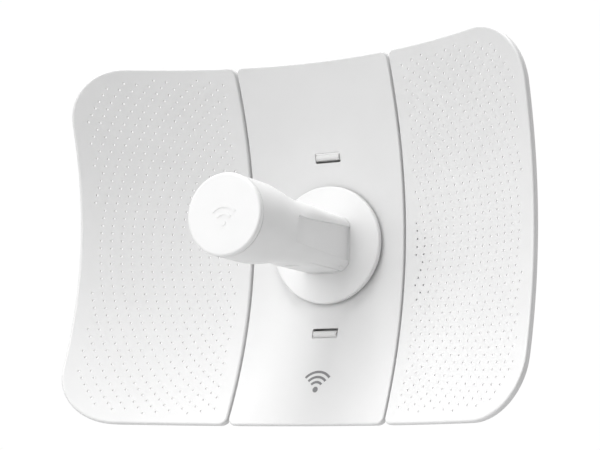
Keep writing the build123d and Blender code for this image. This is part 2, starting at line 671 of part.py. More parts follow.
with BuildPart() as clamp_bolt:
    add(bolt(clamp_end, 2.5, 40.5, 8, 3.5))

with BuildPart() as clamp_nut:
    add(nut(clamp_far.offset(1.02), 2.5, 8, 4))

with BuildPart() as clamp_washers:
    add(tube(clamp_end.offset(0.01), 4.9, 2.52, 0.98))
    add(tube(clamp_far, 4.9, 2.52, 0.98))

# ---- pole saddle ------------------------------------------------------------------------------

def band_loop(grow):
    """Outline of a band round the pole's back and squarely through the saddle."""
    reach = POLE_RADIUS + grow
    with BuildSketch(Plane.XY) as loop:
        Circle(reach)
        with Locations((0, -15.2)):
            Rectangle(2 * reach, 30.4 + 2 * grow)
        fillet(loop.vertices().group_by(Axis.Y)[0], 7 + grow)
    return loop.sketch


def band_ring(inner_grow, outer_grow, low_z, height):
    with BuildPart() as ring:
        add(band_loop(outer_grow))
        extrude(amount=height)
        with BuildSketch(Plane.XY):
            add(band_loop(inner_grow))
        extrude(amount=height, mode=Mode.SUBTRACT)
    return ring.part.moved(Location((0, 0, low_z)))


with BuildPart() as pole_saddle:
    with BuildSketch(Plane.XY.offset(-CLAMP_HALF_HEIGHT)):
        with Locations((0, -24)):
            Rectangle(54, 25)
        Circle(POLE_RADIUS, mode=Mode.SUBTRACT)
    extrude(amount=2 * CLAMP_HALF_HEIGHT)
    fillet(pole_saddle.edges().filter_by(Axis.Z).group_by(Axis.Y)[0], 3)
    # ears that hold the swivel block
    for low_z in (-20, 14):
        with BuildSketch(Plane.XY.offset(low_z)):
            with Locations((0, SWIVEL_Y)):
                Circle(12)
            with Locations((0, (SWIVEL_Y - 36) / 2)):
                Rectangle(24, SWIVEL_Y * -1 - 36)
        extrude(amount=6)
    add(rod(facing_up(0, SWIVEL_Y, -21), 4.02, 42), mode=Mode.SUBTRACT)
    # tunnels for the two bands
    for middle in (-BAND_Z, BAND_Z):
        tunnel_low = middle - BAND_HALF_WIDTH - 0.4
        add(band_ring(-0.3, BAND_THICK + 0.3, tunnel_low, 2 * BAND_HALF_WIDTH + 0.8), mode=Mode.SUBTRACT)

with BuildPart() as swivel_bolt:
    add(bolt(facing_down(0, SWIVEL_Y, 21.4), 4.0, 52, 13, 5.3))

with BuildPart() as swivel_nut:
    add(nut(facing_down(0, SWIVEL_Y, -21.42), 4.0, 13, 6.5))

with BuildPart() as swivel_washers:
    for low_z in (20.01, -21.4):
        add(tube(facing_up(0, SWIVEL_Y, low_z), 8.0, 4.02, 1.38))

with BuildPart() as pole_bands:
    for middle in (-BAND_Z, BAND_Z):
        low = middle - BAND_HALF_WIDTH
        add(band_ring(0, BAND_THICK, low, 2 * BAND_HALF_WIDTH))
        # tail that laps over the band and runs on past the housing
        with BuildSketch(Plane.XY.offset(low)):
            with BuildLine():
                inner = CenterArc((0, 0), POLE_RADIUS + BAND_THICK, 40, 80)
                outer = CenterArc((0, 0), POLE_RADIUS + 2 * BAND_THICK, 40, 80)
                Line(inner @ 0, outer @ 0)
                Line(inner @ 1, outer @ 1)
            make_face()
        extrude(amount=2 * BAND_HALF_WIDTH)
        # slanting slots that the worm screw turns in, through the tail
        for angle in range(46, 118, 5):
            tilted = Location((0, 0, middle), (0, 0, angle)) * Location((0, 0, 0), (8, 0, 0))
            tooth = block((POLE_RADIUS + BAND_THICK + 0.02, -0.5, -3.4), (POLE_RADIUS + 3, 0.5, 3.4))
            add(tooth.moved(tilted), mode=Mode.SUBTRACT)

with BuildPart() as band_housings:
    for middle in (-BAND_Z, BAND_Z):
        top_of_band = POLE_RADIUS + 2 * BAND_THICK
        add(block((-7, top_of_band - 0.6, middle - 7.4), (7, WORM_Y + 5, middle + 7.4)))
        add(rod(facing_up(0, 0, middle - 8), top_of_band + 0.05, 16), mode=Mode.SUBTRACT)
    fillet(band_housings.edges().filter_by(Axis.X).group_by(Axis.Y)[-1], 3.5)
    for middle in (-BAND_Z, BAND_Z):
        add(rod(facing_right(-8, WORM_Y, middle), WORM_RADIUS + RUNNING, 16), mode=Mode.SUBTRACT)


def worm_screw(middle):
    """Worm screw of one band: threaded shank and a slotted hexagon head."""
    start = facing_right(-8.4, WORM_Y, middle)
    with BuildPart() as screw:
        add(rod(start, WORM_RADIUS, 15.8))
        for turn in range(7):
            groove = tube(start.offset(1.9 + 1.8 * turn), WORM_RADIUS + 1, WORM_RADIUS - 0.5, 0.8)
            add(groove, mode=Mode.SUBTRACT)
        add(rod(start.offset(15.7), 4.6, 1.2))
        add(hexagon(start.offset(16.8), 7, 4.2))
        add(block((11.2, WORM_Y - 4, middle - 0.5), (13, WORM_Y + 4, middle + 0.5)), mode=Mode.SUBTRACT)
    return screw.part


with BuildPart() as worm_screw_upper:
    add(worm_screw(BAND_Z))

with BuildPart() as worm_screw_lower:
    add(worm_screw(-BAND_Z))

# ---- files ------------------------------------------------------------------------------------

NODES = {
    "centre_panel": centre_panel,
    "left_wing": left_wing,
    "right_wing": right_wing,
    "rear_hub": rear_hub,
    "feed_latch": feed_latch,
    "level_vial": level_vial,
    "level_liquid": level_liquid,
    "level_rings": level_rings,
    "ground_screw": ground_screw,
    "ground_washer": ground_washer,
    "roll_screws": roll_screws,
    "cable_grommet": cable_grommet,
    "feed_shell": feed_shell,
    "feed_cap": feed_cap,
    "cap_seal": cap_seal,
    "collar_disc": collar_disc,
    "port_cover": port_cover,
    "cover_pin": cover_pin,
    "main_board": main_board,
    "shield_can": shield_can,
    "ethernet_jack": ethernet_jack,
    "jack_contacts": jack_contacts,
    "reset_switch": reset_switch,
    "reset_button": reset_button,
    "status_light": status_light,
    "antenna_board": antenna_board,
    "radiator_patches": radiator_patches,
    "patch_posts": patch_posts,
    "splash_plate": splash_plate,
    "tilt_head": tilt_head,
    "tilt_bolt": tilt_bolt,
    "tilt_nut": tilt_nut,
    "tilt_washers": tilt_washers,
    "swivel_block": swivel_block,
    "clamp_bolt": clamp_bolt,
    "clamp_nut": clamp_nut,
    "clamp_washers": clamp_washers,
    "pole_saddle": pole_saddle,
    "swivel_bolt": swivel_bolt,
    "swivel_nut": swivel_nut,
    "swivel_washers": swivel_washers,
    "pole_bands": pole_bands,
    "band_housings": band_housings,
    "worm_screw_upper": worm_screw_upper,
    "worm_screw_lower": worm_screw_lower,
}

for name, piece in NODES.items():
    piece.part.label = name
    export_step(piece.part, f"parts/{name}.step")
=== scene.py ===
from math import cos, hypot, pi, radians, sin

import bmesh
import bpy
from mathutils import Matrix, Vector
from mathutils.geometry import delaunay_2d_cdt


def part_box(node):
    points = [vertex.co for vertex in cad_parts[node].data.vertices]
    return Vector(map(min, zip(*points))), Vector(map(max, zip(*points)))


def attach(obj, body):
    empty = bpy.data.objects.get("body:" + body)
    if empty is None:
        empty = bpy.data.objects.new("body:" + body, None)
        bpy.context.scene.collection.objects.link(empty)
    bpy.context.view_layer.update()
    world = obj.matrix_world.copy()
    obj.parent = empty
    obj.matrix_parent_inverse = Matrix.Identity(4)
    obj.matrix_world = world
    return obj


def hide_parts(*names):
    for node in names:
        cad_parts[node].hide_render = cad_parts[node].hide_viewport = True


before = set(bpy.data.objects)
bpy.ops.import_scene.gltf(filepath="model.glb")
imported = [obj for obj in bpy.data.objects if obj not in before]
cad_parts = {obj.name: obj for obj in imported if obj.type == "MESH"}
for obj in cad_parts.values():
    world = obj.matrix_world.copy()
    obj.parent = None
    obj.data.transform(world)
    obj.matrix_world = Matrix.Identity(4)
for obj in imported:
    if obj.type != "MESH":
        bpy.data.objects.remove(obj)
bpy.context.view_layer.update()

# ---- the studio -------------------------------------------------------------------------------
# The dish stands in a plain white studio with a pale floor well below it. The viewer stands to
# its right and a little below, and looks up at it through a long lens.

collar_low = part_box("collar_disc")[0]
collar_ahead = 0.0098                    # the collar's face lies this far ahead of the vertex
vertex = Vector((0, collar_low.y + collar_ahead, 0))

view_azimuth = radians(28.36)
view_elevation = radians(-9.09)
view_roll = radians(1.06)
view_distance = 1.2358
view_back = Vector((sin(view_azimuth) * cos(view_elevation), -cos(view_azimuth) * cos(view_elevation),
                    sin(view_elevation)))
level_right = (-view_back).cross(Vector((0, 0, 1))).normalized()
level_up = level_right.cross(-view_back)
view_right = cos(view_roll) * level_right + sin(view_roll) * level_up
view_up = cos(view_roll) * level_up - sin(view_roll) * level_right
feed_foot_ahead = 0.030                  # the view is aimed at this point of the axis, then shifted
shift_left = 0.00917
shift_up = 0.0115
look_at = vertex + Vector((0, -feed_foot_ahead, 0)) - shift_left * view_right + shift_up * view_up

camera_data = bpy.data.cameras.new("viewer")
camera_data.lens = 101.9
camera_data.sensor_width = 36.0
camera_data.clip_start = 0.05
camera_data.clip_end = 60.0
camera = bpy.data.objects.new("viewer", camera_data)
bpy.context.scene.collection.objects.link(camera)
camera.matrix_world = Matrix.Translation(look_at + view_distance * view_back) @ Matrix(
    (view_right, view_up, view_back)).transposed().to_4x4()
bpy.context.scene.camera = camera
bpy.context.scene.view_settings.view_transform = "Standard"

# white wall behind the dish, pale grey room all round
wall_starts = 0.5                        # cosine of the angle away from the view's direction
wall_full = 0.85
room_tone = 0.56
wall_tone = 1.01
studio = bpy.data.worlds.new("studio")
studio.use_nodes = True
room = studio.node_tree
heading = room.nodes.new("ShaderNodeTexCoord")
toward_wall = room.nodes.new("ShaderNodeVectorMath")
toward_wall.operation = "DOT_PRODUCT"
toward_wall.inputs[1].default_value = -view_back
room.links.new(heading.outputs["Generated"], toward_wall.inputs[0])
brightness = room.nodes.new("ShaderNodeMapRange")
brightness.interpolation_type = "SMOOTHSTEP"
brightness.inputs["From Min"].default_value = wall_starts
brightness.inputs["From Max"].default_value = wall_full
brightness.inputs["To Min"].default_value = room_tone
brightness.inputs["To Max"].default_value = wall_tone
room.links.new(toward_wall.outputs["Value"], brightness.inputs["Value"])
room.links.new(brightness.outputs["Result"], room.nodes["Background"].inputs["Strength"])
room.nodes["Background"].inputs["Color"].default_value = (1.0, 1.0, 1.0, 1.0)
bpy.context.scene.world = studio


def soft_light(name, position, aim, size, power):
    """Square softbox that looks at a point."""
    data = bpy.data.lights.new(name, "AREA")
    data.shape = "SQUARE"
    data.size = size
    data.energy = power
    lamp = bpy.data.objects.new(name, data)
    bpy.context.scene.collection.objects.link(lamp)
    lamp.location = position
    lamp.rotation_euler = (Vector(aim) - Vector(position)).to_track_quat("-Z", "Y").to_euler()


softbox_width = 1.3
soft_light("overhead_softbox", (-0.1, -0.6, 2.3), vertex, softbox_width, 56)
soft_light("key_softbox", (-0.7, -2.25, 1.45), vertex, softbox_width, 16)
soft_light("fill_softbox", (-0.9, -2.7, 0.4), vertex, softbox_width, 17)
soft_light("left_softbox", (-2.3, -1.4, 0.5), vertex, softbox_width, 5)


def add_mesh(name, points, faces, smooth=True):
    """New mesh object in the scene."""
    mesh = bpy.data.meshes.new(name)
    mesh.from_pydata([tuple(p) for p in points], [], faces)
    mesh.update()
    if smooth:
        mesh.shade_smooth()
    piece = bpy.data.objects.new(name, mesh)
    bpy.context.scene.collection.objects.link(piece)
    return piece


def new_finish(name):
    """Empty material with a Principled shader, its node tree and the shader."""
    material = bpy.data.materials.new(name)
    material.use_nodes = True
    tree = material.node_tree
    return material, tree, tree.nodes["Principled BSDF"]


def object_noise(tree, scale, detail=3.0, roughness=0.5, stretch=(1, 1, 1)):
    """Noise that sits still on the object, at a number of features a metre."""
    place = tree.nodes.new("ShaderNodeTexCoord")
    mapping = tree.nodes.new("ShaderNodeMapping")
    mapping.inputs["Scale"].default_value = stretch
    noise = tree.nodes.new("ShaderNodeTexNoise")
    noise.inputs["Scale"].default_value = scale
    noise.inputs["Detail"].default_value = detail
    noise.inputs["Roughness"].default_value = roughness
    tree.links.new(place.outputs["Object"], mapping.inputs["Vector"])
    tree.links.new(mapping.outputs["Vector"], noise.inputs["Vector"])
    return noise.outputs["Fac"]


def spread(tree, value, low, high):
    """Stretches the middle of a noise over a range."""
    fit = tree.nodes.new("ShaderNodeMapRange")
    fit.inputs["From Min"].default_value = 0.3
    fit.inputs["From Max"].default_value = 0.7
    fit.inputs["To Min"].default_value = low
    fit.inputs["To Max"].default_value = high
    tree.links.new(value, fit.inputs["Value"])
    return fit.outputs["Result"]


def two_tone(tree, value, first, second):
    """Colour that wanders between two tones of one paint."""
    ramp = tree.nodes.new("ShaderNodeValToRGB")
    ramp.color_ramp.elements[0].position = 0.35
    ramp.color_ramp.elements[0].color = (*first, 1.0)
    ramp.color_ramp.elements[1].position = 0.65
    ramp.color_ramp.elements[1].color = (*second, 1.0)
    tree.links.new(value, ramp.inputs["Fac"])
    return ramp.outputs["Color"]


def tones(tree, shader, scale, first, second, detail=3.0):
    """Base colour that wanders between two tones, with a number of clouds a metre."""
    colour = two_tone(tree, object_noise(tree, scale, detail), first, second)
    tree.links.new(colour, shader.inputs["Base Color"])


def polish(tree, shader, scale, low, high, detail=3.0):
    """Roughness that wanders between two values."""
    tree.links.new(spread(tree, object_noise(tree, scale, detail), low, high), shader.inputs["Roughness"])


def bump(tree, shader, height, strength, depth, under=None):
    """Relief on the shader's normal, on top of another relief if one is given."""
    relief = tree.nodes.new("ShaderNodeBump")
    relief.inputs["Strength"].default_value = strength
    relief.inputs["Distance"].default_value = depth
    tree.links.new(height, relief.inputs["Height"])
    if under:
        tree.links.new(under, relief.inputs["Normal"])
    tree.links.new(relief.outputs["Normal"], shader.inputs["Normal"])
    return relief.outputs["Normal"]


floor_drop = 0.45
floor_half = 9.0
floor_corners = [(x * floor_half, y * floor_half, -floor_drop)
                 for x, y in ((-1, -1), (1, -1), (1, 1), (-1, 1))]
floor = add_mesh("floor", floor_corners, [(0, 1, 2, 3)], smooth=False)
paper, paper_tree, paper_shader = new_finish("floor_paper")
tones(paper_tree, paper_shader, 3.0, (0.555, 0.555, 0.555), (0.565, 0.565, 0.565))
paper_shader.inputs["Roughness"].default_value = 0.85
bump(paper_tree, paper_shader, object_noise(paper_tree, 700.0), 0.15, 0.0004)
floor.data.materials.append(paper)

# ---- reflector wings --------------------------------------------------------------------------
# Two pressed aluminium panels on one paraboloid. Their edges are turned back all round, small
# round holes in rings let the wind through, and the white coat is baked powder.

focal_length = 0.13085
sheet = 0.0012
panel_lip = 0.0024                       # radius of the rolled edge
seam_share = 0.4                         # share of that radius that is left along the seams
flange_depth = 0.008
flange_wall = 0.0011
flange_round = 0.0003
root_depths = (0.0026, 0.0016)           # where the flange's inner face turns into the sheet's back
wing_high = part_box("right_wing")[1]
centre_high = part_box("centre_panel")[1]
dish_half_width = wing_high.x
dish_half_height = centre_high.z
wing_edge = 0.0639                       # where the pressed wing begins, beside the seam
outer_corner = 0.0425
seam_corner = 0.0055
grid_clearance = 0.004                   # fill points stay this far from edges and holes


def dish_y(x, z):
    """Y of the reflecting surface."""
    return vertex.y - (x * x + z * z) / (4 * focal_length)


def dish_normal(x, z):
    """Direction that the reflecting surface faces."""
    return Vector((-x / (2 * focal_length), -1, -z / (2 * focal_length))).normalized()


def corner_loop(left, right, bottom, top, left_radius, right_radius, inset, step=0.0035):
    """Rounded rectangle as points (x, z) with their outward directions. Any inset gives as many points."""
    centres = ((right - right_radius, top - right_radius, right_radius, 0),
               (left + left_radius, top - left_radius, left_radius, 90),
               (left + left_radius, bottom + left_radius, left_radius, 180),
               (right - right_radius, bottom + right_radius, right_radius, 270))
    loop = []
    for index, (x, z, radius, start) in enumerate(centres):
        turns = max(6, int(radius * pi / 2 / step))
        for turn in range(turns + 1):
            angle = radians(start + 90 * turn / turns)
            out = Vector((cos(angle), sin(angle)))
            loop.append((Vector((x, z)) + (radius - inset) * out, out))
        next_x, next_z, next_radius, _ = centres[(index + 1) % 4]
        begin = loop[-1][0]
        out = loop[-1][1]
        end = Vector((next_x, next_z)) + (next_radius - inset) * out
        full = (Vector((next_x, next_z)) + next_radius * out) - (Vector((x, z)) + radius * out)
        parts = int(full.length / step)
        for part in range(1, parts):
            loop.append((begin.lerp(end, part / parts), out))
    return loop


def circle_loop(x, z, radius, count, turn=0.0):
    """Circle as points (x, z) with their outward directions."""
    loop = []
    for index in range(count):
        out = Vector((cos(turn + 2 * pi * index / count), sin(turn + 2 * pi * index / count)))
        loop.append((Vector((x, z)) + radius * out, out))
    return loop


def drawn_in(loop, edge, seams):
    """Draws a loop in by the edge's inset, less along a seam that faces one of the directions."""
    moved = []
    for flat, out in loop:
        along_seam = max(0, max(out.x * seam for seam in seams)) ** 2
        moved.append((flat - edge * (1 - (1 - seam_share) * along_seam) * out, out))
    return moved


def press_panel(name, outline, holes, fill):
    """Sheet panel on the paraboloid with a rolled, turned-back edge.

    outline(inset) gives the edge, holes is a list of rings [(loop, depth), ...] from front to back,
    and fill are points inside the sheet that keep its curve even.
    """
    points = []
    faces = []
    facing = []                          # the direction each corner of each face shows, or None

    def put(flat, depth):
        points.append((flat.x, dish_y(flat.x, flat.y) + depth, flat.y))
        return len(points) - 1

    # profile of the turned-back edge: inset, depth behind the surface, degrees rolled over
    profile = []
    for degrees in (0, 22.5, 45, 67.5, 90):
        roll = radians(degrees)
        profile.append((panel_lip * (1 - sin(roll)), panel_lip * (1 - cos(roll)), degrees))
    profile += [(0, flange_depth - flange_round, None), (flange_round, flange_depth, None),
                (flange_wall - flange_round, flange_depth, None),
                (flange_wall, flange_depth - flange_round, None),
                (flange_wall, root_depths[0], None), (flange_wall + flange_round, root_depths[1], None),
                (panel_lip, sheet, None)]
    rings = []
    for inset, depth, angle in profile:
        loop = outline(inset)
        rings.append([(put(flat, depth), flat, out, angle) for flat, out in loop])
    count = len(rings[0])
    for near, far in zip(rings, rings[1:]):
        for i in range(count):
            j = (i + 1) % count
            corners = (near[i], near[j], far[j], far[i])
            faces.append(tuple(c[0] for c in corners)[::-1])
            shown = []
            for _, flat, out, angle in corners[::-1]:
                if near[0][3] is None or far[0][3] is None:
                    shown.append(None)
                else:
                    tilt = radians(angle)
                    outward = Vector((out.x, 0, out.y))
                    shown.append((cos(tilt) * dish_normal(flat.x, flat.y) + sin(tilt) * outward).normalized())
            facing.append(shown)

    # the sheet between the edge and the holes
    flats = [c[1] for c in rings[0]]
    front = [c[0] for c in rings[0]]
    back = [c[0] for c in rings[-1]]
    edges = [(i, (i + 1) % count) for i in range(count)]
    hole_of = [-1] * count
    for number, hole in enumerate(holes):
        levels = []
        for loop, depth in hole:
            levels.append([put(flat, depth) for flat, out in loop])
        size = len(levels[0])
        for near, far in zip(levels, levels[1:]):
            for i in range(size):
                j = (i + 1) % size
                faces.append((near[i], near[j], far[j], far[i]))
                facing.append([None] * 4)
        first = len(flats)
        flats += [flat for flat, out in hole[0][0]]
        front += levels[0]
        back += levels[-1]
        edges += [(first + i, first + (i + 1) % size) for i in range(size)]
        hole_of += [number] * size
    for flat in fill:
        flats.append(flat)
        front.append(put(flat, 0.0))
        back.append(put(flat, sheet))
        hole_of.append(-1)
    _, _, triangles, origin, _, _ = delaunay_2d_cdt(flats, edges, [], 1, 1e-7)
    source = [owners[0] for owners in origin]
    for triangle in triangles:
        a, b, c = (source[i] for i in triangle)
        if hole_of[a] >= 0 and hole_of[a] == hole_of[b] == hole_of[c]:
            continue
        turn = (flats[b] - flats[a]).cross(flats[c] - flats[a])
        if turn < 0:
            b, c = c, b
        faces.append((front[a], front[b], front[c]))
        facing.append([dish_normal(*flats[i]) for i in (a, b, c)])
        faces.append((back[c], back[b], back[a]))
        facing.append([-dish_normal(*flats[i]) for i in (c, b, a)])
    piece = add_mesh(name, points, faces)
    piece.data.set_sharp_from_angle(angle=radians(40))
    normals = [tuple(n) if n else (0.0, 0.0, 0.0) for face in facing for n in face]
    piece.data.normals_split_custom_set(normals)
    return piece


hole_radius = 0.00082
hole_corners = 10
ring_first = 0.0748                      # radius of the innermost ring of holes, round the dish axis
ring_step = 0.00675
hole_pitch = 0.00582                     # along a ring
field_inset = 0.0100                     # plain margin round the perforated field
seam_margin_less = 0.001                 # by this much it is narrower beside the seam
end_margin_less = 0.002                  # and along the top and the bottom


def inside_field(x, z, inset):
    """True inside the wing's outline, an inset away from its edge."""
    if not wing_edge + inset - seam_margin_less <= x <= dish_half_width - inset:
        return False
    if abs(z) > dish_half_height - inset + end_margin_less:
        return False
    corner_x = dish_half_width - outer_corner
    corner_z = dish_half_height - outer_corner
    if x > corner_x and abs(z) > corner_z:
        return hypot(x - corner_x, abs(z) - corner_z) <= outer_corner - inset
    return True


hole_places = []
most_to_a_side = 60                      # holes each side of a ring's middle, more than any ring takes
ring = 0
while ring_first + ring * ring_step < hypot(dish_half_width, dish_half_height):
    ring_radius = ring_first + ring * ring_step
    for number in range(-most_to_a_side, most_to_a_side + 1):
        angle = number * hole_pitch / ring_radius
        if abs(angle) > pi / 2:
            continue
        x, z = ring_radius * cos(angle), ring_radius * sin(angle)
        if inside_field(x, z, field_inset):
            hole_places.append((x, z, angle))
    ring += 1


def margin_points(x_from, x_to, outline_test, step=0.006):
    """Even grid of points over a panel, where the test allows them."""
    found = []
    rows = int(2 * dish_half_height / step)
    columns = int((x_to - x_from) / step)
    for row in range(1, rows):
        for column in range(1, columns):
            x = x_from + (x_to - x_from) * (column + 0.5 * (row % 2)) / columns
            z = -dish_half_height + 2 * dish_half_height * row / rows
            if outline_test(x, z):
                found.append(Vector((x, z)))
    return found


def outside_holes(x, z):
    """True on the wing's sheet between its holes."""
    if not inside_field(x, z, grid_clearance):
        return False
    return all(hypot(x - a, z - b) > grid_clearance for a, b, _ in hole_places)


def powder_coat(name, shade):
    """Baked white powder: a soft sheen, a fine orange peel and a trace of cloudiness."""
    material, tree, shader = new_finish(name)
    clouded = 0.985 * shade
    tones(tree, shader, 28.0, (clouded, clouded, clouded), (shade, shade, shade), 4.0)
    polish(tree, shader, 90.0, 0.40, 0.48)
    shader.inputs["Specular IOR Level"].default_value = 0.45
    peel = bump(tree, shader, object_noise(tree, 900.0, 2.0), 0.10, 0.00025)
    bump(tree, shader, object_noise(tree, 4200.0, 2.0), 0.06, 0.00008, peel)
    return material


panel_coat = powder_coat("panel_powder_coat", 0.68)


def wing_outline(hand, inset):
    """Edge of the right wing, mirrored for the left one where hand is -1."""
    loop = drawn_in(corner_loop(wing_edge, dish_half_width, -dish_half_height, dish_half_height, seam_corner,
                                outer_corner, 0), inset, (-1,))
    if hand < 0:
        loop = [(Vector((-flat.x, flat.y)), Vector((-out.x, out.y))) for flat, out in reversed(loop)]
    return loop


for wing_name, hand in (("right", 1), ("left", -1)):
    wing_holes = []
    for x, z, angle in hole_places:
        loop = circle_loop(hand * x, z, hole_radius, hole_corners, angle)
        wing_holes.append([(loop, 0.0), (loop, sheet)])
    grid = [Vector((hand * p.x, p.y)) for p in margin_points(wing_edge, dish_half_width, outside_holes)]
    wing = press_panel(wing_name + "_wing_sheet", lambda inset: wing_outline(hand, inset), wing_holes, grid)
    wing.data.materials.append(panel_coat)
    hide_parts(wing_name + "_wing")
    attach(wing, "dish")

# ---- seam hooks -------------------------------------------------------------------------------
# Short tongues bent from the wings' edges pass through the centre panel's edge and catch behind
# it. They are the same coated sheet as the wings.

hook_height = 0.082                      # above and below the dish axis
hook_half_span = 0.004
hook_half_sheet = 0.0005
hook_broken_edge = 0.00015
seam_middle = 0.063
hook_set_back = 0.0054                   # behind the reflecting surface
seam_hook_y = dish_y(seam_middle, hook_height) + hook_set_back
# across the seam, behind the centre panel's edge, and the barb: x from, x to, further back
hook_parts = ((0.06215, 0.06385, 0.0), (0.05750, 0.06095, 0.0), (0.05750, 0.06070, 0.0009))


def add_boxes(name, corners, rounding):
    """One mesh of boxes, each given by two corners, with broken edges."""
    shape = bmesh.new()
    for low, high in corners:
        low, high = Vector(low), Vector(high)
        cube = bmesh.ops.create_cube(shape, size=1.0)
        bmesh.ops.scale(shape, vec=high - low, verts=cube["verts"])
        bmesh.ops.translate(shape, vec=(low + high) / 2, verts=cube["verts"])
    bmesh.ops.bevel(shape, geom=shape.edges[:], offset=rounding, segments=2, affect="EDGES")
    mesh = bpy.data.meshes.new(name)
    shape.to_mesh(mesh)
    shape.free()
    piece = bpy.data.objects.new(name, mesh)
    bpy.context.scene.collection.objects.link(piece)
    return piece


for wing_name, hand in (("right", 1), ("left", -1)):
    hooks = []
    for z in (-hook_height, hook_height):
        for near, far, rise in hook_parts:
            low_x, high_x = sorted((hand * near, hand * far))
            middle_y = seam_hook_y + rise
            hooks.append(((low_x, middle_y - hook_half_sheet, z - hook_half_span),
                          (high_x, middle_y + hook_half_sheet, z + hook_half_span)))
    tongues = add_boxes(wing_name + "_wing_hooks", hooks, hook_broken_edge)
    tongues.data.materials.append(panel_coat)
    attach(tongues, "dish")

# ---- centre panel -----------------------------------------------------------------------------
# The middle of the reflector, pressed like the wings but left whole. Two slots take the
# bracket's hooks, and the opening in its middle takes the feed.

centre_half = centre_high.x
slot_size = (0.0206, 0.0070)
slot_height = 0.0655                     # above and below the dish axis
slot_corner = 0.0010
opening_half_width = 0.0216
opening_top = 0.0209
opening_bottom = -0.0229
opening_corner = 0.0094
punched_edge = 0.0006                    # rounding of a punched opening's front edge
opening_clearance = 0.003                # fill points stay this far from the openings


def centre_outline(inset):
    """Edge of the centre panel."""
    return drawn_in(corner_loop(-centre_half, centre_half, -dish_half_height, dish_half_height, seam_corner,
                                seam_corner, 0), inset, (-1, 1))


def punched(left, right, bottom, top, radius, rounding):
    """Punched opening whose front edge is drawn in a little."""
    levels = []
    for grow, depth in ((rounding, 0.0), (rounding * 0.35, rounding * 0.2), (0.0, rounding), (0.0, sheet)):
        loop = corner_loop(left, right, bottom, top, radius, radius, -grow, 0.0015)
        levels.append((loop, depth))
    return levels


centre_holes = []
for side in (-1, 1):
    centre_holes.append(punched(-slot_size[0] / 2, slot_size[0] / 2, side * slot_height - slot_size[1] / 2,
                                side * slot_height + slot_size[1] / 2, slot_corner, punched_edge))
centre_holes.append(punched(-opening_half_width, opening_half_width, opening_bottom, opening_top,
                            opening_corner, punched_edge))


def on_plain_sheet(x, z):
    """True on the centre panel's sheet, clear of its edge and openings."""
    if abs(x) > centre_half - grid_clearance or abs(z) > dish_half_height - grid_clearance:
        return False
    near_slot_x = abs(x) < slot_size[0] / 2 + opening_clearance
    if near_slot_x and abs(abs(z) - slot_height) < slot_size[1] / 2 + opening_clearance:
        return False
    return not (abs(x) < opening_half_width + opening_clearance
                and opening_bottom - opening_clearance < z < opening_top + opening_clearance)


centre_sheet = press_panel("centre_sheet", centre_outline, centre_holes,
                           margin_points(-centre_half, centre_half, on_plain_sheet))
centre_sheet.data.materials.append(panel_coat)
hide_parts("centre_panel")
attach(centre_sheet, "dish")

# ---- mark on the centre panel -----------------------------------------------------------------
# A small grey pictogram low on the centre panel, a dot with three radio waves. It is a thin film
# of pad-printed ink that follows the panel's curve.

print_centre = Vector((0, -0.1075))
ink_height = 0.00012                     # top of the film above the panel
ink_seat = 0.00002                       # underside of the film above the panel
dot_radius = 0.0021
dot_start, dot_end = 176, 4              # degrees, from left to right over the top
wave_radii = (0.0055, 0.0093, 0.0131)
wave_half_width = 0.0009
wave_start, wave_end = 138, 42


def ink_film(name, lower, upper):
    """Film between two rows of flat points (x, z) that run to the right, laid on the panel."""
    count = len(lower)
    points = []
    for level in (ink_height, ink_seat):
        for x, z in lower + upper:
            points.append(Vector((x, dish_y(x, z), z)) + level * dish_normal(x, z))
    under = 2 * count
    faces = []
    for j in range(count - 1):
        quad = (j, j + 1, count + j + 1, count + j)
        faces.append(quad)
        faces.append(tuple(under + corner for corner in reversed(quad)))
        faces.append((j + 1, j, under + j, under + j + 1))
        faces.append((count + j, count + j + 1, under + count + j + 1, under + count + j))
    for j, k in ((0, count), (2 * count - 1, count - 1)):
        faces.append((j, k, under + k, under + j))
    return add_mesh(name, points, faces, smooth=False)


def print_row(radius, start, end, squash=1):
    """Points along an arc round the middle of the mark's dot, from left to right."""
    parts = 24
    angles = [radians(start + (end - start) * j / parts) for j in range(parts + 1)]
    return [(print_centre.x + radius * cos(a), print_centre.y + squash * radius * sin(a)) for a in angles]


ink, ink_tree, ink_shader = new_finish("grey_ink")
tones(ink_tree, ink_shader, 900.0, (0.17, 0.17, 0.175), (0.20, 0.20, 0.205))
polish(ink_tree, ink_shader, 400.0, 0.42, 0.55)
bump(ink_tree, ink_shader, object_noise(ink_tree, 5000.0), 0.1, 0.00005)

ink_marks = [("printed_dot", print_row(dot_radius, dot_start, dot_end, -1),
              print_row(dot_radius, dot_start, dot_end))]
for number, radius in enumerate(wave_radii):
    ink_marks.append((f"printed_wave_{number + 1}", print_row(radius - wave_half_width, wave_start, wave_end),
                      print_row(radius + wave_half_width, wave_start, wave_end)))
for name, lower, upper in ink_marks:
    mark = ink_film(name, lower, upper)
    mark.data.materials.append(ink)
    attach(mark, "dish")

# ---- rear hub, release tab and level ----------------------------------------------------------
# The hub is a ribbed nylon moulding that hooks into the centre panel and takes the feed's rear
# end. The release tab slides in its wall, and a spirit level lies across its upper arm.


def finish_node(node, material):
    """Gives a CAD piece its finish."""
    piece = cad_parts[node]
    piece.data.materials.clear()
    piece.data.materials.append(material)
    return piece


def soften(node, width, segments=2):
    """Breaks the sharp edges of a CAD piece, as moulding, casting and deburring do."""
    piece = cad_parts[node]
    weld = piece.modifiers.new("joined", "WELD")
    weld.merge_threshold = 0.000002
    round_over = piece.modifiers.new("broken_edges", "BEVEL")
    round_over.width = width
    round_over.segments = segments
    round_over.limit_method = "ANGLE"
    round_over.angle_limit = radians(38)
    round_over.harden_normals = True


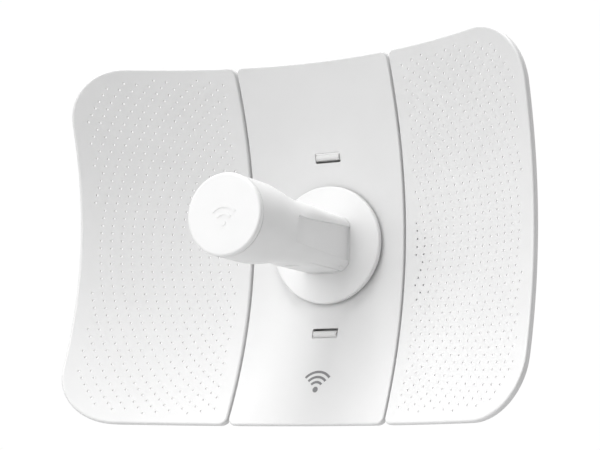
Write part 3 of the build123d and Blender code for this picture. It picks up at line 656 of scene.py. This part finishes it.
def moulding(name, colour, rough=(0.38, 0.46), grain=0.08, cloud=0.985):
    """Injection moulding: an even colour with faint flow clouds and fine spark-eroded grain."""
    material, tree, shader = new_finish(name)
    dull = tuple(cloud * c for c in colour)
    tones(tree, shader, 30.0, dull, colour)
    polish(tree, shader, 140.0, *rough)
    grained = bump(tree, shader, object_noise(tree, 3000.0, 2.0), grain, 0.0001)
    bump(tree, shader, object_noise(tree, 60.0), 0.05, 0.0003, grained)
    return material


bracket_plastic = moulding("bracket_plastic", (0.66, 0.66, 0.655), (0.48, 0.60), 0.16, 0.97)
finish_node("rear_hub", bracket_plastic)

latch_plastic = moulding("latch_plastic", (0.20, 0.205, 0.21), (0.42, 0.52), 0.14, 0.9)
finish_node("feed_latch", latch_plastic)

clear, clear_tree, clear_shader = new_finish("vial_acrylic")
tones(clear_tree, clear_shader, 60.0, (0.93, 0.96, 0.95), (0.97, 0.99, 0.98))
polish(clear_tree, clear_shader, 300.0, 0.02, 0.08)
clear_shader.inputs["Transmission Weight"].default_value = 0.92
clear_shader.inputs["IOR"].default_value = 1.49
bump(clear_tree, clear_shader, object_noise(clear_tree, 900.0), 0.03, 0.00005)
finish_node("level_vial", clear)

fluid, fluid_tree, fluid_shader = new_finish("level_fluid")
tones(fluid_tree, fluid_shader, 120.0, (0.52, 0.83, 0.10), (0.60, 0.90, 0.14))
polish(fluid_tree, fluid_shader, 300.0, 0.0, 0.04)
fluid_shader.inputs["Transmission Weight"].default_value = 0.55
fluid_shader.inputs["IOR"].default_value = 1.36
bump(fluid_tree, fluid_shader, object_noise(fluid_tree, 200.0), 0.02, 0.00005)
finish_node("level_liquid", fluid)

black_plastic = moulding("black_plastic", (0.018, 0.018, 0.019), (0.34, 0.46), 0.10, 0.8)
finish_node("level_rings", black_plastic)

# ---- ground screw and cable bush --------------------------------------------------------------
# The ground point is a brass screw and washer in the lower arm. The network cable leaves through
# a split bush of black rubber in the hub's wall.


def bare_metal(name, colour, rough, scratches, tarnish):
    """Plated or bare metal: fine scratches one way, patches that have dulled, and small pits."""
    material, tree, shader = new_finish(name)
    shader.inputs["Metallic"].default_value = 1.0
    dull = tuple(tarnish * c for c in colour)
    tones(tree, shader, 160.0, dull, colour, 4.0)
    polish(tree, shader, 420.0, *rough, detail=4.0)
    drawn = bump(tree, shader, object_noise(tree, 900.0, 3.0, 0.6, scratches), 0.12, 0.00006)
    bump(tree, shader, object_noise(tree, 2600.0, 2.0), 0.08, 0.00004, drawn)
    return material


brass = bare_metal("brass", (0.72, 0.52, 0.24), (0.24, 0.38), (1, 6, 6), 0.8)
for node in ("ground_screw", "ground_washer"):
    finish_node(node, brass)
soften("ground_washer", 0.0002)

rubber, rubber_tree, rubber_shader = new_finish("black_rubber")
tones(rubber_tree, rubber_shader, 200.0, (0.022, 0.022, 0.022), (0.036, 0.035, 0.034))
polish(rubber_tree, rubber_shader, 350.0, 0.62, 0.78)
bump(rubber_tree, rubber_shader, object_noise(rubber_tree, 1800.0), 0.2, 0.00012)
for node in ("cable_grommet", "cap_seal"):
    finish_node(node, rubber)

# ---- radio inside the feed --------------------------------------------------------------------
# A green board slides into the neck on rails. It carries a tinned shield, the network socket, the
# reset switch and the light, and behind the cap a patch antenna on white posts.

board, board_tree, board_shader = new_finish("solder_mask")
board_place = board_tree.nodes.new("ShaderNodeTexCoord")
tracks = board_tree.nodes.new("ShaderNodeTexBrick")
tracks.inputs["Scale"].default_value = 260.0
tracks.inputs["Mortar Size"].default_value = 0.03
tracks.inputs["Color1"].default_value = (0.012, 0.10, 0.035, 1.0)
tracks.inputs["Color2"].default_value = (0.016, 0.125, 0.045, 1.0)
tracks.inputs["Mortar"].default_value = (0.035, 0.20, 0.08, 1.0)
board_tree.links.new(board_place.outputs["Object"], tracks.inputs["Vector"])
board_tree.links.new(tracks.outputs["Color"], board_shader.inputs["Base Color"])
polish(board_tree, board_shader, 240.0, 0.26, 0.38)
bump(board_tree, board_shader, tracks.outputs["Fac"], 0.2, 0.00004)
for node in ("main_board", "antenna_board"):
    finish_node(node, board)

tin = bare_metal("tinned_sheet", (0.74, 0.74, 0.73), (0.22, 0.36), (6, 1, 6), 0.85)
for node in ("shield_can", "splash_plate", "radiator_patches"):
    finish_node(node, tin)

nylon = moulding("white_nylon", (0.62, 0.61, 0.57), (0.45, 0.55), 0.10, 0.96)
finish_node("patch_posts", nylon)
for node in ("ethernet_jack", "reset_switch"):
    finish_node(node, black_plastic)
finish_node("reset_button", latch_plastic)
finish_node("jack_contacts", brass)
finish_node("status_light", clear)

# ---- feed: collar, neck, port cover and cap ---------------------------------------------------
# The collar closes the panel's opening. The neck and head are one white moulding; the cover of
# the ports is hinged on a steel pin underneath, and the cap is pushed on over a rubber seal.

feed_plastic = moulding("feed_plastic", (0.73, 0.73, 0.73), (0.34, 0.42), 0.06)
for node in ("collar_disc", "feed_shell", "port_cover", "feed_cap"):
    finish_node(node, feed_plastic)

# ---- tilt head, swivel block and pole saddle --------------------------------------------------
# Three aluminium castings with a grey powder coat. They let the dish roll, tilt and turn on its
# pole, and screws through arc-shaped slots hold it where it was set.

casting, casting_tree, casting_shader = new_finish("grey_casting")
tones(casting_tree, casting_shader, 40.0, (0.30, 0.31, 0.32), (0.35, 0.36, 0.37), 5.0)
polish(casting_tree, casting_shader, 120.0, 0.46, 0.62, 4.0)
sand = bump(casting_tree, casting_shader, object_noise(casting_tree, 420.0, 4.0), 0.30, 0.0003)
bump(casting_tree, casting_shader, object_noise(casting_tree, 2200.0, 2.0), 0.15, 0.0001, sand)
for node in ("tilt_head", "swivel_block", "pole_saddle"):
    finish_node(node, casting)
    soften(node, 0.0006, 3)

# ---- bolts, nuts and screws -------------------------------------------------------------------
# The fasteners of the bracket are zinc-plated steel. Their hexagons are forged, with broken
# corners, and the pin of the port cover is plated like them.

zinc = bare_metal("zinc_plate", (0.60, 0.61, 0.63), (0.28, 0.38), (5, 5, 1), 0.90)
for node in ("tilt_bolt", "tilt_nut", "clamp_bolt", "clamp_nut", "swivel_bolt", "swivel_nut", "roll_screws"):
    finish_node(node, zinc)
    soften(node, 0.00025)
for node in ("tilt_washers", "clamp_washers", "swivel_washers"):
    finish_node(node, zinc)
    soften(node, 0.00015)
finish_node("cover_pin", zinc)

# ---- pole bands -------------------------------------------------------------------------------
# Two bands of rolled stainless steel pass through the saddle and round the pole. Each is drawn
# tight by a worm screw in a folded housing.

stainless = bare_metal("stainless_band", (0.62, 0.62, 0.61), (0.28, 0.34), (1, 1, 9), 0.96)
for node in ("pole_bands", "band_housings", "worm_screw_upper", "worm_screw_lower"):
    finish_node(node, stainless)
soften("band_housings", 0.0003)
